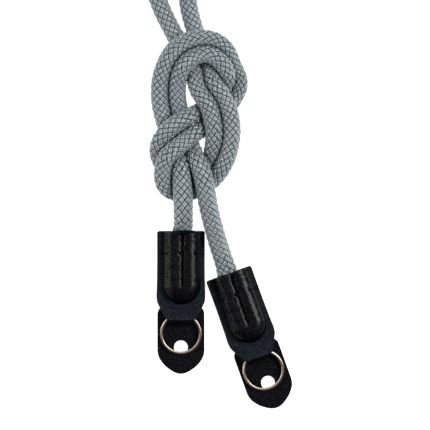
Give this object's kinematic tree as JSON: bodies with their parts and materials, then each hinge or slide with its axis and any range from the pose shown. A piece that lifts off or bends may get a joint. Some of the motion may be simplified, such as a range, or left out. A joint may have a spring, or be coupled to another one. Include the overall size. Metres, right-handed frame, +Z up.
{
  "type": "camera neck strap",
  "caption": "Round braided rope neck strap, doubled in a figure-eight knot, with a folded leather tab, a split ring and a ring-protecting leather pad on each end.",
  "frame": {"origin": "on the surface that the strap lies on, at the middle of the box round the end tabs, rings and pads", "axes": "+Y from the end tabs towards the knot and the neck loop, +Z up from the surface, +X to the right"},
  "size_m": [0.0684, 0.3414, 0.0165],
  "materials": {
    "braided_rope": "glossy grey-blue yarn in a tight round braid",
    "smooth_leather": "smooth black leather with a soft sheen",
    "pad_leather": "matte black grained leather",
    "nickel_steel": "bright nickel-plated spring steel"
  },
  "bodies": {
    "strap": {"rope": "braided_rope", "left_leather_tab": "smooth_leather", "right_leather_tab": "smooth_leather", "left_ring_pad": "pad_leather", "right_ring_pad": "pad_leather"},
    "left_ring": {"left_split_ring": "nickel_steel"},
    "right_ring": {"right_split_ring": "nickel_steel"}
  },
  "joints": [
    {"name": "left_ring_swing", "type": "hinge", "parent": "strap", "child": "left_ring", "pos_m": [-0.0185, 0.00115, 0.0044], "axis": [-1, 0, 0], "range_deg": [0, 40]},
    {"name": "right_ring_swing", "type": "hinge", "parent": "strap", "child": "right_ring", "pos_m": [0.01446, -0.01485, 0.0044], "axis": [-0.9403, -0.3404, 0], "range_deg": [0, 40]}
  ]
}
